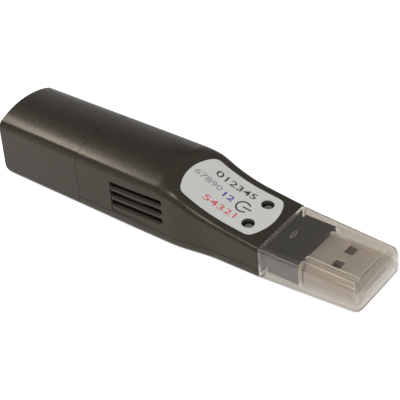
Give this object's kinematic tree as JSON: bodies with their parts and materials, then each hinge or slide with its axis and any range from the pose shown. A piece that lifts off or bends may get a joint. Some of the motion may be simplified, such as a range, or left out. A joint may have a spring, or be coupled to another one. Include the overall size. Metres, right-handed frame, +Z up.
{
  "type": "temperature data logger",
  "caption": "Stick-shaped temperature and humidity logger: humped battery end with pull-off cover, side air vents, sloping labelled face, and a data plug under a clear pull-off cap.",
  "frame": {"origin": "on the plane of the flat base, under the middle of the overall length, on the centre plane", "axes": "+X along the stick towards the plug, +Z up from the flat base, -Y towards the side that faces the camera"},
  "size_m": [0.1018, 0.0214, 0.0163],
  "materials": {
    "housing_plastic": "fine satin texture",
    "label_film": "satin printed film",
    "inner_plastic": "satin",
    "black_plastic": "satin",
    "white_plastic": "satin",
    "clear_plastic": "clear, slightly smoky",
    "plug_metal": "nickel plated",
    "plated_steel": "tin plated",
    "contact_gold": "gold plated",
    "board_laminate": "green solder mask",
    "chip_resin": "moulded resin",
    "cell_sleeve": "plain shrink sleeve",
    "lamp_green": "tinted lens",
    "lamp_red": "tinted lens"
  },
  "bodies": {
    "housing": {"upper_shell": "housing_plastic", "lower_shell": "housing_plastic", "label": "label_film", "tact_switch": "plated_steel", "record_lamp": "lamp_green", "alarm_lamp": "lamp_red", "circuit_board": "board_laminate", "microcontroller": "chip_resin", "memory_chip": "chip_resin", "crystal_can": "plated_steel", "air_sensor": "chip_resin", "resistors": "chip_resin", "battery_carrier": "inner_plastic", "battery_cell": "cell_sleeve", "positive_contact": "plated_steel", "negative_spring": "plated_steel", "negative_tab": "plated_steel", "plug_housing": "black_plastic", "plug_shield": "plug_metal", "plug_tongue": "white_plastic", "plug_contacts": "contact_gold"},
    "cover": {"battery_cover": "housing_plastic"},
    "cap": {"clear_cap": "clear_plastic"},
    "key": {"start_key": "inner_plastic", "switch_stem": "inner_plastic"}
  },
  "joints": [
    {"name": "cap_pull", "type": "slide", "parent": "housing", "child": "cap", "axis": [1, 0, 0], "range_m": [0, 0.03]},
    {"name": "cover_pull", "type": "slide", "parent": "housing", "child": "cover", "axis": [-1, 0, 0], "range_m": [0, 0.03]},
    {"name": "key_press", "type": "slide", "parent": "housing", "child": "key", "axis": [0, 0, -1], "range_m": [0, 0.0003], "stiffness_N_per_m": 300}
  ]
}
